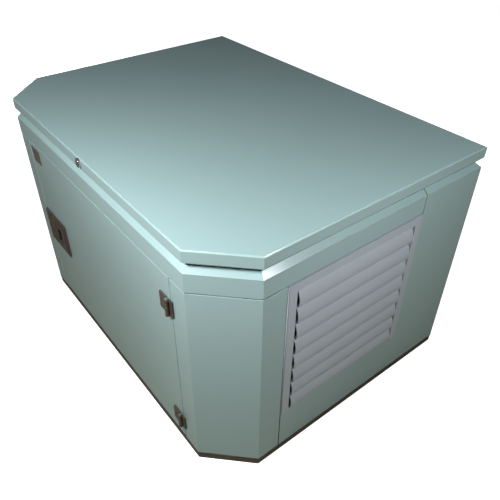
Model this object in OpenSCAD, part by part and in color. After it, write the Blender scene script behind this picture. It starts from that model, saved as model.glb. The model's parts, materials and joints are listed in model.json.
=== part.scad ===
// Home standby generator: sheet-metal acoustic enclosure on a base frame, with a side-hung
// service door, a rear-hinged lid, a gravity shutter at the hot-air end and, inside, an
// air-cooled V-twin gas engine that drives a close-coupled alternator.
// Frame: +X is the hot-air (shutter) end, -Y is the door side, +Z is up. The origin is at
// the centre of the underside. Millimetres.

/* [Enclosure] */
// Length of the enclosure, end to end
body_l = 1200; // [1100:10:1440]
// Width of the enclosure, door to back
body_w = 885; // [840:5:1060]
// Cut of the two front corners, along each wall
corner_cut = 120; // [60:5:150]
// Height of the base frame under the panels
base_h = 27; // [15:1:40]
// Height of the lower wall panels, up to the band seam
wall_h = 603; // [560:1:760]
// Height of the plain band above the seam
band_h = 54; // [45:1:70]
// Depth of the vee groove between body and lid
groove_d = 13.5; // [8:0.5:18]
// Height of the lid's upright skirt, with its rounded edge
skirt_h = 32; // [29:1:60]
// Sheet thickness of all panels
sheet_t = 2; // [1.5:0.1:2.2]
// Width of the seams between panels
seam = 3; // [2:0.5:4]

/* [Door] */
// Width of the front door opening
door_w = 834; // [700:2:840]
// Depth of the folded door edge
door_fold = 14; // [10:1:16]
// Length of a door hinge
hinge_l = 50; // [45:1:80]
// Outer radius of the hinge barrels
hinge_r = 6; // [5:0.5:6]
// Distance of the hinge axes in front of the panels
hinge_out = 8; // [7.5:0.5:9]
// Width of the latch plate
latch_w = 150; // [140:1:170]
// Height of the latch plate
latch_h = 122; // [110:1:150]

/* [Shutter] */
// Number of shutter vanes
vane_n = 8; // [8]
// Width of the shutter frame's outside
shutter_w = 456; // [380:2:480]
// Height of the lower panel beneath the shutter
shutter_sill = 145; // [120:1:180]
// Width of the shutter frame's border
shutter_edge = 24; // [18:1:30]
// Depth of the shutter frame
shutter_depth = 40; // [30:1:60]
// How far the shutter frame stands proud of the wall
shutter_proud = 3; // [1:0.5:5]

/* [Power unit] */
// Height of the crankshaft above the ground
crank_z = 215; // [210:1:225]
// Distance from the crankshaft to the cylinder seats
deck_r = 120; // [118:1:130]
// Length of a cylinder barrel
barrel_l = 110; // [90:1:120]
// Radius of the cylinder cooling fins
fin_r = 68; // [60:1:70]
// Radius of the crankshaft
shaft_r = 20; // [16:1:22]
// Outer radius of the flywheel
flywheel_r = 150; // [120:1:152]
// Outer radius of the alternator housing
stator_r = 120; // [110:1:125]
// Length of the alternator housing
stator_l = 240; // [200:1:250]
// Length of the muffler
muffler_l = 400; // [320:1:410]
// Radius of the muffler
muffler_r = 70; // [60:1:80]
// Length of the starting battery
battery_l = 208; // [180:1:215]

/* [Hidden] */
$fn = 64;
eps = 0.01;

// Colours
mint = [0.63, 0.74, 0.73];
louvre_grey = [0.62, 0.63, 0.67];
base_brown = [0.24, 0.21, 0.18];
hardware_brown = [0.3, 0.27, 0.25];
iron = [0.35, 0.36, 0.38];
black = [0.08, 0.08, 0.09];
steel = [0.7, 0.71, 0.73];

// Levels
seam_z = base_h + wall_h;
shoulder_z = seam_z + band_h;
flange_z = shoulder_z + groove_d;
lid_gap = 3;
lid_z = flange_z + lid_gap;
skirt_z = lid_z + groove_d;
top_z = skirt_z + skirt_h;
floor_t = 3;
floor_z = base_h + floor_t;

// Plan
half_l = body_l / 2;
half_w = body_w / 2;
side_split = 208;       // where the plain rear part of each end wall begins
shutter_y1 = side_split - seam / 2;
shutter_y0 = shutter_y1 - shutter_w;
flange_w = 45;          // inner edge of the body flange, from the outside
lid_flange_w = 25;      // inner edge of the lid flange, from the outside
edge_round = 3;
door_x = door_w / 2;
fold_y = -half_w + 18;  // outer face of the flat door frame
frame_lip = 9;          // how far the door frame reaches inside the door's edge
hinge_x = door_x - 7;
hinge_y = half_w + hinge_out;
hinge_z = [base_h + 51, base_h + 487];
pin_r = 3;
pin_gap = 0.05;
leaf_t = 5;

// Outline of the enclosure in plan, moved inwards by i
function plan(i) = let(l = half_l - i, w = half_w - i, c = corner_cut - i * (2 - sqrt(2)))
  [[l, w], [-l, w], [-l, -w + c], [-l + c, -w], [l - c, -w], [l, -w + c]];

module prism(i, z0, z1)
  translate([0, 0, z0]) linear_extrude(z1 - z0) polygon(plan(i));

// Solid between two plan outlines at two levels
module loft(i0, z0, i1, z1) {
  a = plan(i0);
  b = plan(i1);
  n = len(a);
  points = concat([for (p = a) [p.x, p.y, z0]], [for (p = b) [p.x, p.y, z1]]);
  walls = [for (k = [0 : n - 1]) [k, k + n, (k + 1) % n + n, (k + 1) % n]];
  polyhedron(points, concat([[for (k = [0 : n - 1]) k]], walls, [[for (k = [n - 1 : -1 : 0]) k + n]]));
}

// Box given by its two opposite corners
module box(a, b)
  translate([min(a.x, b.x), min(a.y, b.y), min(a.z, b.z)])
    cube([abs(b.x - a.x), abs(b.y - a.y), abs(b.z - a.z)]);

// Cylinder from point a to point b
module rod(a, b, r) {
  d = b - a;
  translate(a)
    rotate([0, acos(d.z / norm(d)), atan2(d.y, d.x)])
      cylinder(r = r, h = norm(d));
}

// Round pipe or cable along points, with ball-shaped bends
module pipe(points, r) {
  for (k = [0 : len(points) - 2]) rod(points[k], points[k + 1], r);
  for (k = [1 : len(points) - 2]) translate(points[k]) sphere(r * 1.03);
}

// Thin closed wall of the body, with the sloping shoulder and the inner flange
module body_wall() {
  t = sheet_t;
  difference() {
    union() {
      prism(0, base_h, shoulder_z);
      loft(0, shoulder_z, groove_d, flange_z);
    }
    prism(t, base_h - 1, shoulder_z);
    loft(t, shoulder_z - eps, groove_d + t, flange_z - t);
    prism(flange_w, shoulder_z, flange_z + 1);
  }
}

module wall_part(a, b) intersection() {
  body_wall();
  box(a, b);
}

/* ---------- base ---------- */
anchor_x = half_l - 130;
anchor_y = half_w - 30;
anchor_r = 7;
rail_y = 145;
rail_w = 50;
rail_h = 40;
mount_x = [-220, -100, 205];

module at_anchors()
  for (x = [-anchor_x, anchor_x], y = [-anchor_y, anchor_y])
    translate([x, y, 0]) children();

module base_frame() color(base_brown) difference() {
  rim_w = 60;
  wall = 3;
  prism(1, 0, base_h);
  prism(rim_w, -1, base_h + 1);
  difference() {
    prism(wall + 1, -1, base_h - wall);
    prism(rim_w - wall, -2, base_h);
    at_anchors() cylinder(r = anchor_r * 2, h = base_h);
  }
  at_anchors() translate([0, 0, -1]) cylinder(r = anchor_r, h = base_h + 2);
}

module at_mounts(z)
  for (x = mount_x, s = [-1, 1]) translate([x, s * rail_y, z]) children();

bolt_r = 5;
bolt_gap = 0.3;

module base_floor() color(base_brown) difference() {
  union() {
    prism(sheet_t + 0.5, base_h, floor_z);
    for (s = [-1, 1]) difference() {
      box([-300, s * rail_y - rail_w / 2, floor_z - eps], [260, s * rail_y + rail_w / 2, floor_z + rail_h]);
      box([-301, s * rail_y - rail_w / 2 + 4, floor_z],
        [261, s * rail_y + rail_w / 2 - 4, floor_z + rail_h - 4]);
    }
  }
  at_mounts(floor_z + rail_h - 10) cylinder(r = bolt_r + bolt_gap, h = 20);
  at_anchors() translate([0, 0, base_h - 1]) cylinder(r = anchor_r, h = floor_t + 2);
}

/* ---------- enclosure walls ---------- */
module corner_panel(s) color(mint) {
  x_edge = s * (door_x + seam / 2);
  y_end = shutter_y0 - seam;
  wall_part([x_edge, -half_w, base_h], [s * half_l, y_end, seam_z - seam / 2]);
  box([x_edge, -half_w + sheet_t - eps, base_h + 5], [x_edge + s * sheet_t, fold_y, seam_z - seam]);
  box([s * (half_l - sheet_t + eps), y_end - sheet_t, floor_z + 5],
    [s * (half_l - 18), y_end, seam_z - seam]);
}

// Three-sided band: front and both ends, up to the plain rear parts of the end walls
module top_band() color(mint) {
  wall_part([-half_l, -half_w, seam_z + seam / 2], [half_l, side_split - seam / 2, top_z]);
  box([-door_x - 40, -half_w + sheet_t - eps, seam_z + seam / 2],
    [door_x + 40, fold_y + sheet_t, seam_z + seam / 2 + sheet_t]);
}

mitre = flange_w + 1;    // the back corners are mitred over this depth
mitre_gap = 0.5;

// L-shaped end wall: full height behind the shutter, low beneath it
module end_panel(s) color(mint) {
  y0 = side_split + seam / 2;
  intersection() {
    body_wall();
    translate([0, 0, base_h]) linear_extrude(top_z) polygon([[s * half_l, y0], [s * half_l, half_w],
      [s * (half_l - mitre), half_w - mitre], [s * (half_l - mitre), y0]]);
  }
  wall_part([s * (half_l - 10), shutter_y0, base_h], [s * half_l, y0 + 1, base_h + shutter_sill]);
}

outlet_x = 420;
outlet_z = 200;
outlet_r = 20;
gas_x = -430;
gas_z = 160;
gas_r = 13.35;
gland_x = -250;
gland_z = 120;
gland_r = 20;

module rear_holes() {
  rod([outlet_x, half_w - 40, outlet_z], [outlet_x, half_w + 1, outlet_z], outlet_r + 3);
  rod([gas_x, half_w - 40, gas_z], [gas_x, half_w + 1, gas_z], gas_r + 1);
  rod([gland_x, half_w - 40, gland_z], [gland_x, half_w + 1, gland_z], gland_r + 0.2);
}

module rear_panel() color(mint) difference() {
  intersection() {
    body_wall();
    x0 = half_l - mitre_gap;
    translate([0, 0, base_h]) linear_extrude(top_z) polygon([[-x0, half_w], [x0, half_w],
      [x0 - mitre, half_w - mitre], [-x0 + mitre, half_w - mitre]]);
  }
  rear_holes();
}

module door_frame() color(mint) difference() {
  box([-door_x - 30, fold_y, floor_z], [door_x + 30, fold_y + sheet_t, seam_z + seam / 2]);
  box([-door_x + frame_lip, fold_y - 1, floor_z + 22],
    [door_x - frame_lip, fold_y + sheet_t + 1, seam_z - 11]);
}

module seals() color(black) {
  seal_t = 2;
  difference() {
    box([-door_x - 1, fold_y - seal_t, floor_z + 6], [door_x + 1, fold_y, seam_z + 1]);
    box([-door_x + 8, fold_y - 5, floor_z + 16], [door_x - 8, fold_y + 1, seam_z - 12]);
  }
  difference() {
    prism(groove_d + 1, flange_z, flange_z + lid_gap - 0.4);
    prism(lid_flange_w - 1, flange_z - 1, lid_z);
  }
}

bulkhead_x = 300;
header_y = 245;
header_z = crank_z + 115;
header_r = 18;

module bulkhead() color(steel) difference() {
  box([bulkhead_x, -half_w + 25, floor_z], [bulkhead_x + sheet_t, half_w - sheet_t - 1, shoulder_z]);
  box([bulkhead_x - 1, -150, 70], [bulkhead_x + 5, 150, 370]);
  for (s = [-1, 1]) rod([bulkhead_x - 1, s * header_y, header_z],
    [bulkhead_x + 5, s * header_y, header_z], header_r + 6);
}

module wall_foam() color(black) difference() {
  box([-half_l + 30, half_w - sheet_t - 22, floor_z + 2], [bulkhead_x - 6, half_w - sheet_t, seam_z - 10]);
  rear_holes();
  rod([gland_x, half_w - 60, gland_z], [gland_x, half_w, gland_z], 34);
  rod([gas_x, half_w - 60, gas_z], [gas_x, half_w, gas_z], 20);
}

/* ---------- shutter and intake ---------- */
shutter_z0 = base_h + shutter_sill;
shutter_in_z1 = seam_z - 26;
shutter_in_y0 = shutter_y0 + shutter_edge;
shutter_in_y1 = shutter_y1 - shutter_edge;
vane_top_gap = 5;        // from the frame down to the first pivot
vane_lip_gap = 2;        // from a lip down to the pivot below it
vane_sill_gap = 1.5;     // from the last lip down to the sill
vane_end_gap = 8;        // from the frame to a vane's end on the door side
vane_back_gap = 1.8;     // and on the other side
vane_pitch = (shutter_in_z1 - vane_top_gap - shutter_z0 - vane_sill_gap + vane_lip_gap) / vane_n;
vane_axis_x = half_l - 8;
vane_pin_r = 2.5;
knuckle_r = 3;
vane_bore_r = vane_pin_r + pin_gap;

function vane_z(k) = shutter_in_z1 - vane_top_gap - (k - 1) * vane_pitch;

// Border of the shutter and of the intake, seen on the +X end
module end_border() difference() {
  union() {
    box([half_l - shutter_depth, shutter_y0, shutter_z0],
      [half_l + shutter_proud, shutter_y1, seam_z - seam / 2]);
    box([half_l - shutter_depth, shutter_y0 + 2, shutter_z0 - 22],
      [half_l - sheet_t, shutter_y1 - 2, shutter_z0 + 1]);
  }
  box([half_l - shutter_depth - 1, shutter_in_y0, shutter_z0],
    [half_l + shutter_proud + 1, shutter_in_y1, shutter_in_z1]);
}

module louvre_frame() color(louvre_grey) difference() {
  end_border();
  for (k = [1 : vane_n])
    rod([vane_axis_x, shutter_in_y0 - 7, vane_z(k)],
      [vane_axis_x, shutter_in_y1 + 7, vane_z(k)], vane_bore_r);
}

// Bowed vane that hangs from its top edge
module vane(k) color(louvre_grey) translate([vane_axis_x, 0, vane_z(k)]) {
  thick = 2;
  drop = vane_pitch - vane_lip_gap;
  bow_r = 62;
  lean = 9;
  y0 = shutter_in_y0 + vane_end_gap;
  y1 = shutter_in_y1 - vane_back_gap;
  // circle through the knuckle and the lip
  half = norm([drop, lean]) / 2;
  mid = [lean / 2, -drop / 2];
  normal = [-drop, -lean] / norm([drop, lean]);
  centre = mid + normal * sqrt(bow_r * bow_r - half * half);
  rotate([90, 0, 0]) translate([0, 0, -y1]) linear_extrude(y1 - y0) difference() {
    intersection() {
      translate(centre) circle(r = bow_r + thick / 2, $fn = 180);
      translate([-6, -drop]) square([30, drop]);
    }
    translate(centre) circle(r = bow_r - thick / 2, $fn = 180);
  }
  rod([0, y0, 0], [0, y1, 0], knuckle_r);
  rod([0, shutter_in_y0 - 6, 0], [0, shutter_in_y1 + 6, 0], vane_pin_r);
}

// Fixed air intake at the other end: the same border with sloping blades and a backing rail
module intake_grille() color(louvre_grey) mirror([1, 0, 0]) {
  end_border();
  for (k = [1 : vane_n])
    translate([half_l - 14, 0, vane_z(k) - 12])
      rotate([0, -45, 0])
        box([-2, shutter_in_y0 - 1, -18], [0, shutter_in_y1 + 1, 18]);
  for (y = [-160, -20, 120])
    box([half_l - shutter_depth, y, shutter_z0 - 1],
      [half_l - shutter_depth + 6, y + 6, shutter_in_z1 + 1]);
}

/* ---------- hinges ---------- */
knuckle_n = 5;          // knuckles in a hinge; the moving half has the even ones
knuckle_gap = 0.3;
curl_t = 3;             // thickness of the web between a knuckle and its leaf

// Half of a hinge of length l about the Z axis; the panel face lies at y = hinge_out.
// The leaf of the moving half runs towards -X.
module hinge_half(l, leaf_w, moving) {
  side = moving ? -1 : 1;
  clear = hinge_r + 0.6;
  box([side * clear, hinge_out - leaf_t, 0], [side * leaf_w, hinge_out, l]);
  for (k = [moving ? 1 : 0 : 2 : knuckle_n - 1]) {
    z0 = l * k / knuckle_n + (k == 0 ? 0 : knuckle_gap / 2);
    z1 = l * (k + 1) / knuckle_n - (k == knuckle_n - 1 ? 0 : knuckle_gap / 2);
    difference() {
      union() {
        translate([0, 0, z0]) cylinder(r = hinge_r, h = z1 - z0);
        box([0, hinge_r - curl_t, z0], [side * (clear + eps), hinge_r, z1]);
      }
      translate([0, 0, z0 - 1]) cylinder(r = pin_r + pin_gap, h = z1 - z0 + 2);
    }
  }
}

module hinge_pin(l) {
  translate([0, 0, -2]) cylinder(r = pin_r, h = l + 2.5);
  translate([0, 0, l + 0.3]) cylinder(r = pin_r + 1.5, h = 2.5);
}

module at_door_hinges()
  for (z = hinge_z) translate([hinge_x, -hinge_y, z]) children();

lid_hinge_x = [-420, 0, 420];
lid_hinge_l = 90;
lid_axis_z = flange_z + lid_gap / 2;

// The lid's hinges lie along X on the rear face: local -X is up, local +Y is towards the wall
module at_lid_hinges()
  for (x = lid_hinge_x)
    translate([x - lid_hinge_l / 2, hinge_y, lid_axis_z])
      multmatrix([[0, 0, 1, 0], [0, -1, 0, 0], [-1, 0, 0, 0]])
        children();

// Fixed hinge leaves, and the catch that holds the lid's lock
module fixed_hardware() color(hardware_brown) {
  at_door_hinges() hinge_half(hinge_l, 18, false);
  at_lid_hinges() hinge_half(lid_hinge_l, 34, false);
  lock_catch();
}

module hinge_pins() color(steel) {
  at_door_hinges() hinge_pin(hinge_l);
  at_lid_hinges() hinge_pin(lid_hinge_l);
}

module door_hinge_leaves() color(hardware_brown)
  at_door_hinges() hinge_half(hinge_l, 38, true);

module lid_hinge_leaves() color(mint)
  at_lid_hinges() hinge_half(lid_hinge_l, 40, true);

/* ---------- door ---------- */
door_z0 = base_h + seam;
door_z1 = seam_z - seam / 2;
door_face = -half_w;
door_edge = door_x - seam / 2;
latch_x = -door_x + 82;
latch_z = base_h + 293;
dish_x0 = latch_x - 70;
dish_x1 = dish_x0 + 110;
dish_h = 84;
dish_y = door_face + 20;
slot_w = 28;
slot_h = 56;
paddle_w = 75;
paddle_h = 74;

module door_panel() color(mint) difference() {
  box([-door_edge, door_face, door_z0], [door_edge, door_face + door_fold, door_z1]);
  box([-door_edge + sheet_t, door_face + sheet_t, door_z0 + sheet_t],
    [door_edge - sheet_t, door_face + door_fold + 1, door_z1 - sheet_t]);
  box([dish_x0 - 3, door_face - 1, latch_z - dish_h / 2 - 3],
    [dish_x1 + 3, dish_y, latch_z + dish_h / 2 + 3]);
}

bolt_t = 8;
bolt_h = 20;
bolt_y = fold_y + sheet_t + 1.5;
bolt_tip = -door_x + frame_lip + 1;
bolt_len = 44;
bolt_guide_x = -door_x + 30;

module latch_plate() color(hardware_brown) {
  plate_t = 8;
  y0 = door_face - plate_t;
  window_z = paddle_h / 2 + 1;
  difference() {
    union() {
      box([latch_x - latch_w / 2, y0 + 2, latch_z - latch_h / 2],
        [latch_x + latch_w / 2, door_face, latch_z + latch_h / 2]);
      box([latch_x - latch_w / 2 + 8, y0, latch_z - latch_h / 2 + 8],
        [latch_x + latch_w / 2 - 8, y0 + 3, latch_z + latch_h / 2 - 8]);
      box([dish_x0 - 2, door_face - eps, latch_z - dish_h / 2],
        [dish_x1 + 2, dish_y, latch_z + dish_h / 2]);
      box([bolt_guide_x - 7, dish_y - 1, latch_z - 17],
        [bolt_guide_x + 7, bolt_y + bolt_t + 4, latch_z + 17]);
    }
    box([dish_x0 + 1, y0 - 1, latch_z - window_z],
      [dish_x0 + paddle_w + 3, dish_y - 2, latch_z + window_z]);
    box([dish_x0 + paddle_w, y0 - 1, latch_z - slot_h / 2],
      [dish_x0 + paddle_w + 3 + slot_w, dish_y - 2, latch_z + slot_h / 2]);
    box([bolt_guide_x - 20, bolt_y - 0.3, latch_z - bolt_h / 2 - 0.3],
      [bolt_guide_x + 20, bolt_y + bolt_t + 0.3, latch_z + bolt_h / 2 + 0.3]);
    rod([paddle_x, paddle_y, latch_z - window_z - 5],
      [paddle_x, paddle_y, latch_z + window_z + 5], 2 + pin_gap);
  }
}

paddle_x = dish_x0 + 5.5;
paddle_y = door_face - 3.5;

// Pull paddle, hinged at its left edge
module paddle() color(hardware_brown) {
  box([paddle_x, paddle_y - 2.5, latch_z - paddle_h / 2],
    [dish_x0 + paddle_w + 1.5, paddle_y + 2.5, latch_z + paddle_h / 2]);
  rod([paddle_x, paddle_y, latch_z - paddle_h / 2], [paddle_x, paddle_y, latch_z + paddle_h / 2], 3.5);
  rod([paddle_x, paddle_y, latch_z - paddle_h / 2 - 4],
    [paddle_x, paddle_y, latch_z + paddle_h / 2 + 4], 2);
}

module latch_bolt() color(steel)
  box([bolt_tip, bolt_y, latch_z - bolt_h / 2],
    [bolt_tip + bolt_len, bolt_y + bolt_t, latch_z + bolt_h / 2]);

module rating_plate() color(base_brown)
  box([-door_x + 15, door_face - 1, door_z1 - 61.5], [-door_x + 73, door_face, door_z1 - 11.5]);

/* ---------- lid ---------- */
module lid_shell() color(mint) difference() {
  t = sheet_t;
  union() {
    loft(groove_d, lid_z, 0, skirt_z);
    prism(0, skirt_z, top_z - edge_round);
    loft(0, top_z - edge_round, edge_round, top_z);
  }
  prism(lid_flange_w, lid_z - 1, skirt_z);
  loft(groove_d + t, lid_z + t, t, skirt_z + eps);
  prism(t, skirt_z, top_z - edge_round);
  loft(t, top_z - edge_round - eps, edge_round + t, top_z - t);
  rod([0, -half_w - 1, lock_z], [0, -half_w + 10, lock_z], lock_r + 0.3);
}

lock_r = 10;
lock_z = skirt_z + 18;
cam_y = -half_w + 31;
cam_l = 24;
cam_w = 12;
cam_t = 5;

// Key lock: chrome head, barrel through the skirt, and a cam behind it
module lid_lock() color(steel) difference() {
  union() {
    rod([0, -half_w - 5, lock_z], [0, -half_w, lock_z], lock_r + 3);
    rod([0, -half_w - eps, lock_z], [0, cam_y, lock_z], lock_r);
    box([-cam_w / 2, cam_y - eps, lock_z - cam_l], [cam_w / 2, cam_y + cam_t, lock_z + cam_w / 2]);
  }
  box([-1, -half_w - 6, lock_z - 5], [1, -half_w - 2, lock_z + 5]);
}

// Catch on the body flange: a leg and the plate screwed on it, which the cam turns under
module lock_catch() {
  arm_z = lock_z + cam_w / 2 + 1.5;
  leg_x = cam_l + 4;
  y1 = cam_y + cam_t + 2;
  arm_t = 2.5;
  leg_t = 3;
  seat_gap = 0.02;
  box([leg_x, cam_y - 2, flange_z], [leg_x + leg_t, y1, arm_z - seat_gap]);
  box([cam_w, cam_y - 2, arm_z], [leg_x + leg_t, y1, arm_z + arm_t]);
}

/* ---------- power unit ---------- */
mount_z = floor_z + rail_h;
rubber_h = 30;
foot_z = mount_z + rubber_h;
foot_h = 22;
case_z0 = foot_z + foot_h;
case_x = [-260, -60];
case_w = 135;
ridge_z = deck_r * sqrt(2);
shoulder_y = ridge_z - case_w;
engine_x = -160;
stagger = 14;
shroud_x = -352;

module rubber_mounts() color(black)
  at_mounts(mount_z) difference() {
    cylinder(r = 22, h = rubber_h);
    translate([0, 0, -1]) cylinder(r = bolt_r + bolt_gap, h = rubber_h + 2);
  }

module mount_bolts() color(steel)
  at_mounts(0) {
    translate([0, 0, mount_z - 14]) cylinder(r = bolt_r, h = rubber_h + foot_h + 14.1);
    translate([0, 0, foot_z + foot_h]) cylinder(r = 9, h = 8, $fn = 6);
  }

// Foot block that stands on a pair of rubber mounts
module foot(x0, x1, s) difference() {
  box([x0, s * (case_w - 35), foot_z], [x1, s * (rail_y + 25), foot_z + foot_h]);
  at_mounts(foot_z - 1) cylinder(r = bolt_r + bolt_gap, h = foot_h + 2);
}

// Places children on a cylinder: local +Z runs out along the cylinder's axis
module at_cylinder(s)
  translate([engine_x + s * stagger, 0, crank_z]) rotate([-s * 45, 0, 0]) children();

module crankcase() color(iron) {
  for (s = [-1, 1]) foot(case_x[0] + 15, case_x[1] - 15, s);
  difference() {
    case_profile(0, case_x[0], case_x[1]);
    case_profile(12, case_x[0] + 12, case_x[1] - 12);
    rod([case_x[0] - 1, 0, crank_z], [case_x[1] + 1, 0, crank_z], shaft_r + pin_gap);
    for (s = [-1, 1]) at_cylinder(s) cylinder(r = cylinder_bore, h = deck_r + 1);
    rod([filter_x, -case_w - 1, oil_z], [filter_x, -case_w + 20, oil_z], 8);
  }
}

// Five-sided crankcase section, moved inwards by i, between two planes
module case_profile(i, x0, x1) {
  w = case_w - i;
  r = ridge_z - i * sqrt(2);
  translate([x0, 0, crank_z]) rotate([90, 0, 90]) linear_extrude(x1 - x0)
    polygon([[-w, case_z0 + i - crank_z], [w, case_z0 + i - crank_z], [w, r - w], [0, r], [-w, r - w]]);
}

cylinder_bore = 40;
fin_pitch = 12;

module cylinders() color(iron)
  for (s = [-1, 1]) at_cylinder(s) difference() {
    union() {
      translate([0, 0, deck_r]) cylinder(r = cylinder_bore + 10, h = barrel_l);
      for (z = [deck_r + 8 : fin_pitch : deck_r + barrel_l - 6]) translate([0, 0, z]) cylinder(r = fin_r, h = 3);
    }
    translate([0, 0, deck_r - 1]) cylinder(r = cylinder_bore, h = barrel_l + 2);
  }

head_z = deck_r + barrel_l;
head_h = 50;
head_w = 60;
cover_h = 28;

module cylinder_heads() color(iron)
  for (s = [-1, 1]) at_cylinder(s) difference() {
    union() {
      box([-head_w + 6, -head_w + 6, head_z], [head_w - 6, head_w - 6, head_z + head_h]);
      for (z = [4 : 10 : head_h - 4]) box([-head_w, -head_w, head_z + z], [head_w, head_w, head_z + z + 3]);
      box([-46, -46, head_z + head_h - eps], [46, 46, head_z + head_h + cover_h]);
      for (e = [-1, 1]) translate([0, e * head_w, head_z + head_h / 2]) rotate([90, 0, 0]) cylinder(r = 24, h = 12, center = true);
    }
    rod([head_w - 14, 0, head_z + 30], [head_w + 1, 0, head_z + 30], 7);
    for (e = [-1, 1]) translate([0, e * (head_w + 1), head_z + head_h / 2]) rotate([90, 0, 0]) cylinder(r = 14, h = 30, center = true);
  }

module spark_plugs() color("white")
  for (s = [-1, 1]) at_cylinder(s) {
    rod([head_w - 14, 0, head_z + 30], [head_w, 0, head_z + 30], 6.9);
    rod([head_w - eps, 0, head_z + 30], [head_w + 8, 0, head_z + 30], 10, $fn = 6);
    rod([head_w + 8 - eps, 0, head_z + 30], [head_w + 34, 0, head_z + 30], 6);
  }

module fan_shroud() color(black) {
  r0 = flywheel_r + 12;
  r1 = r0 + 4;
  difference() {
    rod([shroud_x - 3, 0, crank_z], [shroud_x + 52, 0, crank_z], r1);
    rod([shroud_x, 0, crank_z], [shroud_x + 53, 0, crank_z], r0);
    rod([shroud_x - 4, 0, crank_z], [shroud_x + 1, 0, crank_z], 95);
  }
  // lugs at the crankcase's lower edge, as far out as the ring is there
  lug_h = 8;
  lug_y = sqrt(pow(r0 + 2, 2) - pow(crank_z - case_z0 - lug_h / 2, 2));
  for (s = [-1, 1])
    box([shroud_x + 48, s * (min(lug_y, case_w) - 4), case_z0],
      [case_x[0], s * max(lug_y + 4, case_w), case_z0 + lug_h]);
  box([shroud_x + 48, -5, crank_z + ridge_z - 19], [case_x[0], 5, crank_z + ridge_z - 6]);
  for (a = [0 : 60 : 300])
    translate([shroud_x - 1.5, 0, crank_z]) rotate([a, 0, 0]) box([-1.5, -3, 38], [1.5, 3, 97]);
  rod([shroud_x - 3, 0, crank_z], [shroud_x, 0, crank_z], 40);
}

shaft_x = [-345, 222];

module crankshaft() color(steel) {
  rod([shaft_x[0], 0, crank_z], [shaft_x[1], 0, crank_z], shaft_r);
  for (s = [-1, 1]) for (e = [-1, 1]) {
    x = engine_x + s * stagger + e * 11;
    rod([x - 4, 0, crank_z], [x + 4, 0, crank_z], 52);
  }
}

flywheel_x = [-300, -286];
hub_x = flywheel_x[0] - 40;

module flywheel() color(iron) difference() {
  union() {
    rod([flywheel_x[0], 0, crank_z], [flywheel_x[1], 0, crank_z], flywheel_r);
    rod([hub_x, 0, crank_z], [flywheel_x[1], 0, crank_z], shaft_r + 16);
    for (a = [0 : 30 : 330])
      translate([0, 0, crank_z]) rotate([a, 0, 0])
        box([hub_x + 2, -2, 55], [flywheel_x[0] + 1, 2, flywheel_r - 6]);
  }
  rod([hub_x - 1, 0, crank_z], [flywheel_x[1] + 1, 0, crank_z], shaft_r);
}

rotor_r = stator_r - 28;

rotor_x = [-20, 155];   // ends of the rotor's hub

// Rotor core, with the exciter disc beside it
module rotor() color([0.6, 0.35, 0.2]) difference() {
  union() {
    rod([rotor_x[0] + 5, 0, crank_z], [rotor_x[1] - 30, 0, crank_z], rotor_r);
    rod([rotor_x[1] - 23, 0, crank_z], [rotor_x[1] - 5, 0, crank_z], rotor_r - 4);
    rod([rotor_x[0], 0, crank_z], [rotor_x[1], 0, crank_z], shaft_r + 12);
  }
  rod([rotor_x[0] - 1, 0, crank_z], [rotor_x[1] + 1, 0, crank_z], shaft_r);
}

bell_x = case_x[1] + stator_l;

module stator() color(steel) difference() {
  union() {
    rod([case_x[1], 0, crank_z], [bell_x, 0, crank_z], stator_r);
    box([20, -45, crank_z + stator_r - 12], [110, 45, crank_z + stator_r + 36]);
  }
  rod([case_x[1] - 1, 0, crank_z], [bell_x + 1, 0, crank_z], rotor_r + 4);
}

module end_bell() color(iron) {
  for (s = [-1, 1]) foot(bell_x + 5, bell_x + 45, s);
  difference() {
    union() {
      difference() {
        union() {
          rod([bell_x, 0, crank_z], [bell_x + 50, 0, crank_z], stator_r);
          box([bell_x + 5, -case_w + 5, foot_z], [bell_x + 45, case_w - 5, foot_z + foot_h]);
        }
        rod([bell_x - 1, 0, crank_z], [bell_x + 38, 0, crank_z], stator_r - 12);
        for (a = [0 : 45 : 315])
          translate([bell_x + 30, 0, crank_z]) rotate([a, 0, 0]) box([0, -14, 48], [30, 14, 98]);
      }
      rod([bell_x + 22, 0, crank_z], [bell_x + 46, 0, crank_z], 36);
    }
    rod([bell_x - 1, 0, crank_z], [bell_x + 44, 0, crank_z], shaft_r + pin_gap);
  }
}

// Inner (intake) and outer (exhaust) port of a head, in the shared frame
function port(s, side) = let(r = head_z + head_h / 2, t = side * (head_w + 6), q = sqrt(0.5))
  [engine_x + s * stagger, s * (r + t) * q, crank_z + (r - t) * q];
mixer_z = crank_z + 275;

module gas_mixer() color(steel) {
  for (s = [-1, 1])
    pipe([port(s, -1), port(s, -1) + [0, -s * 20, 20], [engine_x + s * stagger, s * 15, mixer_z + 5]], 14);
  difference() {
    rod([engine_x, 0, mixer_z - 12], [engine_x, 0, mixer_z + 50], 32);
    rod([engine_x, 0, mixer_z + 10], [engine_x, 0, mixer_z + 51], 22);
  }
}

filter_z = mixer_z + 50;

module air_filter_box() color(black) {
  box([engine_x - 100, -120, filter_z], [engine_x + 100, 120, filter_z + 60]);
  box([engine_x - 106, -126, filter_z + 60 - eps], [engine_x + 106, 126, filter_z + 84]);
  for (x = [-60 : 30 : 60]) box([engine_x + x - 4, -110, filter_z + 83],
    [engine_x + x + 4, 110, filter_z + 89]);
}

filter_x = case_x[1] - 40;
oil_z = 178;

module oil_filter() color("white") {
  rod([filter_x, -case_w - 8, oil_z], [filter_x, -case_w - 86, oil_z], 37);
  rod([filter_x, -case_w + 14, oil_z], [filter_x, -case_w - 9, oil_z], 8);
}

module dipstick() color("gold") {
  x = case_x[1] - 8;
  y = -case_w - 70;
  top = 360;
  pipe([[x, -case_w - 3, 225], [x, y + 10, 255], [x, y, top]], 6);
  rod([x, y, top - 1], [x, y, top + 25], 12);
}

starter_y = -case_w - 37;
starter_z = crank_z - 20;

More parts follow.
